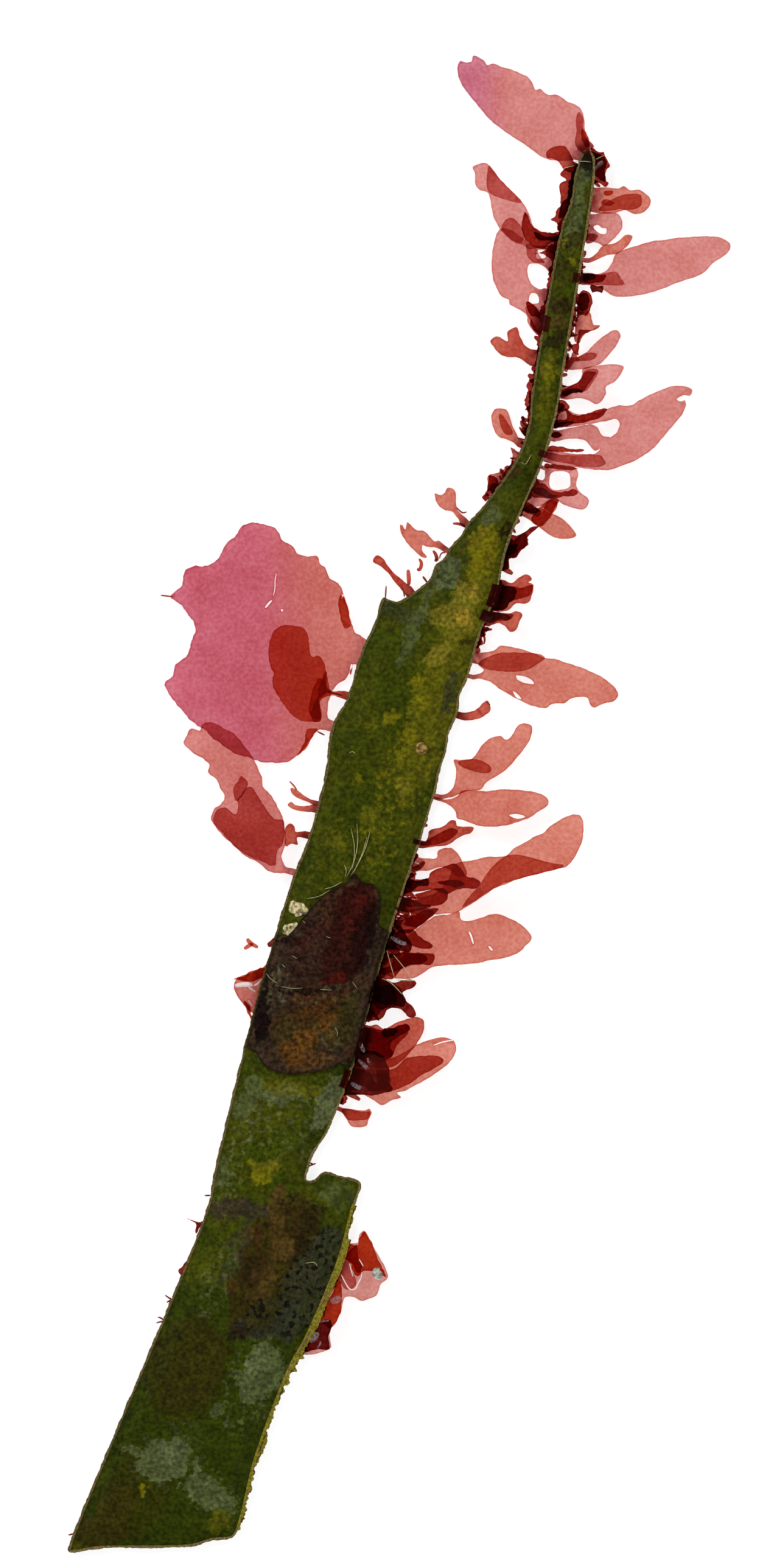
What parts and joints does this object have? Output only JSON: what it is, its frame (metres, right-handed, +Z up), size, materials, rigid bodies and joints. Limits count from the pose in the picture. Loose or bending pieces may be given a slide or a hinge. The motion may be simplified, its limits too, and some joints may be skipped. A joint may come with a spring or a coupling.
{
  "type": "pyropia gardneri seaweed specimen",
  "caption": "Flat dried seaweed specimen: thin translucent red Pyropia blades growing from the margins and tip of a cut strap of green-brown kelp.",
  "frame": {"origin": "centre of the specimen's outline, on the surface that the kelp strap lies on", "axes": "+Z up, out of the upper face; +Y along the specimen, towards the tip of the strap; +X across it, to the right of a viewer above with the tip away from them"},
  "size_m": [0.0452, 0.1022, 0.0039],
  "materials": {
    "kelp": "olive-green dried kelp with brown and grey-green mottles, satin",
    "brown_blade": "red-brown translucent blade over kelp, satin",
    "red_blade": "thin translucent salmon-red blade, satin",
    "magenta_blade": "thin translucent magenta-pink blade, satin",
    "dark_young_blade": "dense dark red young blades, satin",
    "glossy_blade": "folded translucent red blade, wet gloss"
  },
  "bodies": {
    "root": {"kelp_strap": "kelp", "crossing_blade": "brown_blade", "tip_frond": "red_blade", "tip_foot_blade": "dark_young_blade", "tip_tuft_left": "dark_young_blade", "tip_tuft_right": "dark_young_blade", "right_frond_01": "red_blade", "right_frond_02": "red_blade", "right_frond_03": "red_blade", "right_frond_04": "red_blade", "right_tuft_01": "dark_young_blade", "right_frond_05": "red_blade", "right_frond_06": "red_blade", "right_frond_07": "red_blade", "right_frond_08": "red_blade", "right_frond_09": "red_blade", "right_frond_10": "dark_young_blade", "right_frond_11": "dark_young_blade", "right_frond_12": "dark_young_blade", "right_tuft_02": "dark_young_blade", "right_frond_13": "red_blade", "right_frond_14": "red_blade", "right_frond_15": "dark_young_blade", "right_frond_16": "red_blade", "right_frond_17": "red_blade", "right_frond_18": "dark_young_blade", "right_frond_19": "red_blade", "right_frond_20": "dark_young_blade", "right_frond_21": "red_blade", "right_frond_22": "dark_young_blade", "right_frond_23": "dark_young_blade", "right_frond_24": "red_blade", "right_frond_25": "dark_young_blade", "right_frond_26": "dark_young_blade", "right_frond_27": "red_blade", "right_frond_28": "red_blade", "right_frond_29": "dark_young_blade", "right_frond_30": "red_blade", "folded_blade": "glossy_blade", "left_frond_01": "red_blade", "left_frond_02": "red_blade", "left_frond_03": "red_blade", "left_tuft_01": "dark_young_blade", "left_frond_04": "red_blade", "left_tuft_02": "dark_young_blade", "left_frond_05": "red_blade", "left_frond_06": "red_blade", "left_frond_07": "dark_young_blade", "big_left_blade": "magenta_blade", "small_left_blade": "dark_young_blade", "lower_left_blade": "red_blade", "lower_left_tuft": "red_blade", "left_shred_01": "red_blade", "left_shred_02": "red_blade", "left_glossy_blade": "glossy_blade", "left_tuft_03": "dark_young_blade", "left_tuft_04": "dark_young_blade"}
  },
  "joints": []
}
